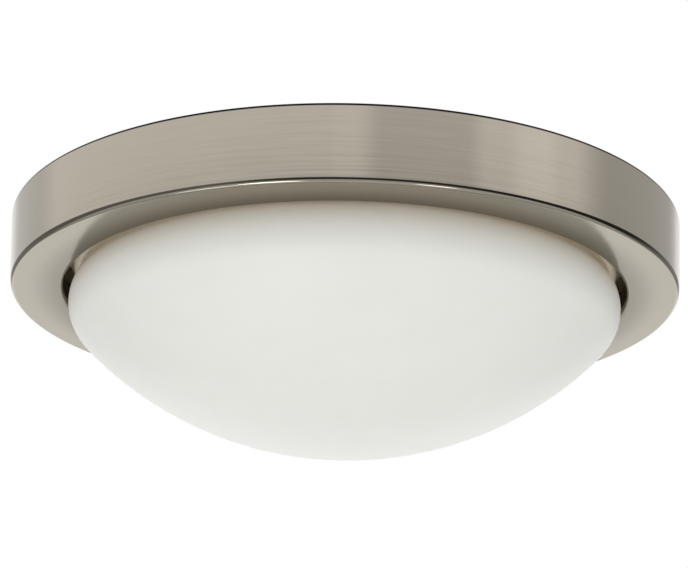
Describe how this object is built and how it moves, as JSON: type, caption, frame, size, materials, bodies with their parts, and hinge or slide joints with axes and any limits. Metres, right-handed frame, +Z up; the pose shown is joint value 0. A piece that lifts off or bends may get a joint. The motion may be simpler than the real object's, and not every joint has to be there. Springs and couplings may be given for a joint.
{
  "type": "flush mount ceiling light",
  "caption": "Round flush mount ceiling light: satin nickel trim ring, opal glass bowl on leaf springs, and screw lamps side by side under a white pan with a crossbar for an outlet box.",
  "frame": {"origin": "midway between the crossbar's two outlet box slots, in the ceiling plane", "axes": "+Z up, out of the ceiling face; +X along the crossbar and the lamps' axes; -Y towards the camera of the picture"},
  "size_m": [0.333, 0.333, 0.109],
  "materials": {
    "satin_nickel": "satin, spun and brushed round the ring",
    "white_paint": "semi-gloss white",
    "opal_glass": "satin opal",
    "spring_steel": "bright",
    "zinc_steel": "zinc plated",
    "screw_steel": "zinc plated",
    "green_screw": "green passivated",
    "glass_wool": "fibrous",
    "grommet_rubber": "matt",
    "block_plastic": "natural",
    "brass": "plain",
    "tinned_brass": "tinned",
    "porcelain": "glazed",
    "bronze": "plain",
    "black_insulation": "satin",
    "white_insulation": "satin",
    "green_insulation": "satin",
    "cap_nickel": "plated",
    "cap_insulator": "glossy",
    "solder": "dull",
    "lamp_body": "semi-gloss",
    "lamp_globe": "frosted"
  },
  "bodies": {
    "fixture": {"trim_ring": "satin_nickel", "back_pan": "white_paint", "pan_screws": "screw_steel", "insulation_pad": "glass_wool", "clip_rivets": "zinc_steel", "crossbar": "zinc_steel", "mounting_screws": "screw_steel", "ground_screw": "green_screw", "ground_washer": "tinned_brass", "cable_grommet": "grommet_rubber", "terminal_block": "block_plastic", "terminal_bars": "brass", "terminal_screws": "screw_steel", "terminal_block_screws": "screw_steel", "earth_lug": "tinned_brass", "earth_screw": "green_screw", "earth_lead": "green_insulation", "live_lead_a": "black_insulation", "live_lead_b": "black_insulation", "neutral_lead_a": "white_insulation", "neutral_lead_b": "white_insulation", "spring_clip_1": "spring_steel", "spring_clip_2": "spring_steel", "spring_clip_3": "spring_steel", "socket_bracket_a": "zinc_steel", "socket_bracket_b": "zinc_steel", "socket_body_a": "porcelain", "socket_body_b": "porcelain", "socket_shell_a": "brass", "socket_shell_b": "brass", "socket_contact_a": "bronze", "socket_contact_b": "bronze", "socket_screw_a": "screw_steel", "socket_screw_b": "screw_steel", "bracket_rivets_a": "zinc_steel", "bracket_rivets_b": "zinc_steel"},
    "glass": {"glass_diffuser": "opal_glass"},
    "lamp_a_contact": {"bulb_tip_a": "solder"},
    "lamp_a": {"bulb_insulator_a": "cap_insulator", "bulb_cap_a": "cap_nickel", "bulb_collar_a": "lamp_body", "bulb_globe_a": "lamp_globe"},
    "lamp_b_contact": {"bulb_tip_b": "solder"},
    "lamp_b": {"bulb_insulator_b": "cap_insulator", "bulb_cap_b": "cap_nickel", "bulb_collar_b": "lamp_body", "bulb_globe_b": "lamp_globe"}
  },
  "joints": [
    {"name": "glass_drop", "type": "slide", "parent": "fixture", "child": "glass", "axis": [0, 0, -1], "range_m": [0, 0.1], "deforming": ["spring_clip_1", "spring_clip_2", "spring_clip_3"]},
    {"name": "lamp_a_advance", "type": "slide", "parent": "fixture", "child": "lamp_a_contact", "axis": [1, 0, 0], "range_m": [0, 0.0182]},
    {"name": "lamp_a_turn", "type": "hinge", "parent": "lamp_a_contact", "child": "lamp_a", "pos_m": [-0.048, 0.04, -0.048], "axis": [1, 0, 0], "range_deg": [0, 1800]},
    {"name": "lamp_b_advance", "type": "slide", "parent": "fixture", "child": "lamp_b_contact", "axis": [-1, 0, 0], "range_m": [0, 0.0182]},
    {"name": "lamp_b_turn", "type": "hinge", "parent": "lamp_b_contact", "child": "lamp_b", "pos_m": [0.048, -0.04, -0.048], "axis": [-1, 0, 0], "range_deg": [0, 1800]}
  ],
  "couplings": [
    {"joint": "lamp_a_advance", "follows": "lamp_a_turn", "m_per_rad": 0.00057773},
    {"joint": "lamp_b_advance", "follows": "lamp_b_turn", "m_per_rad": 0.00057773}
  ]
}
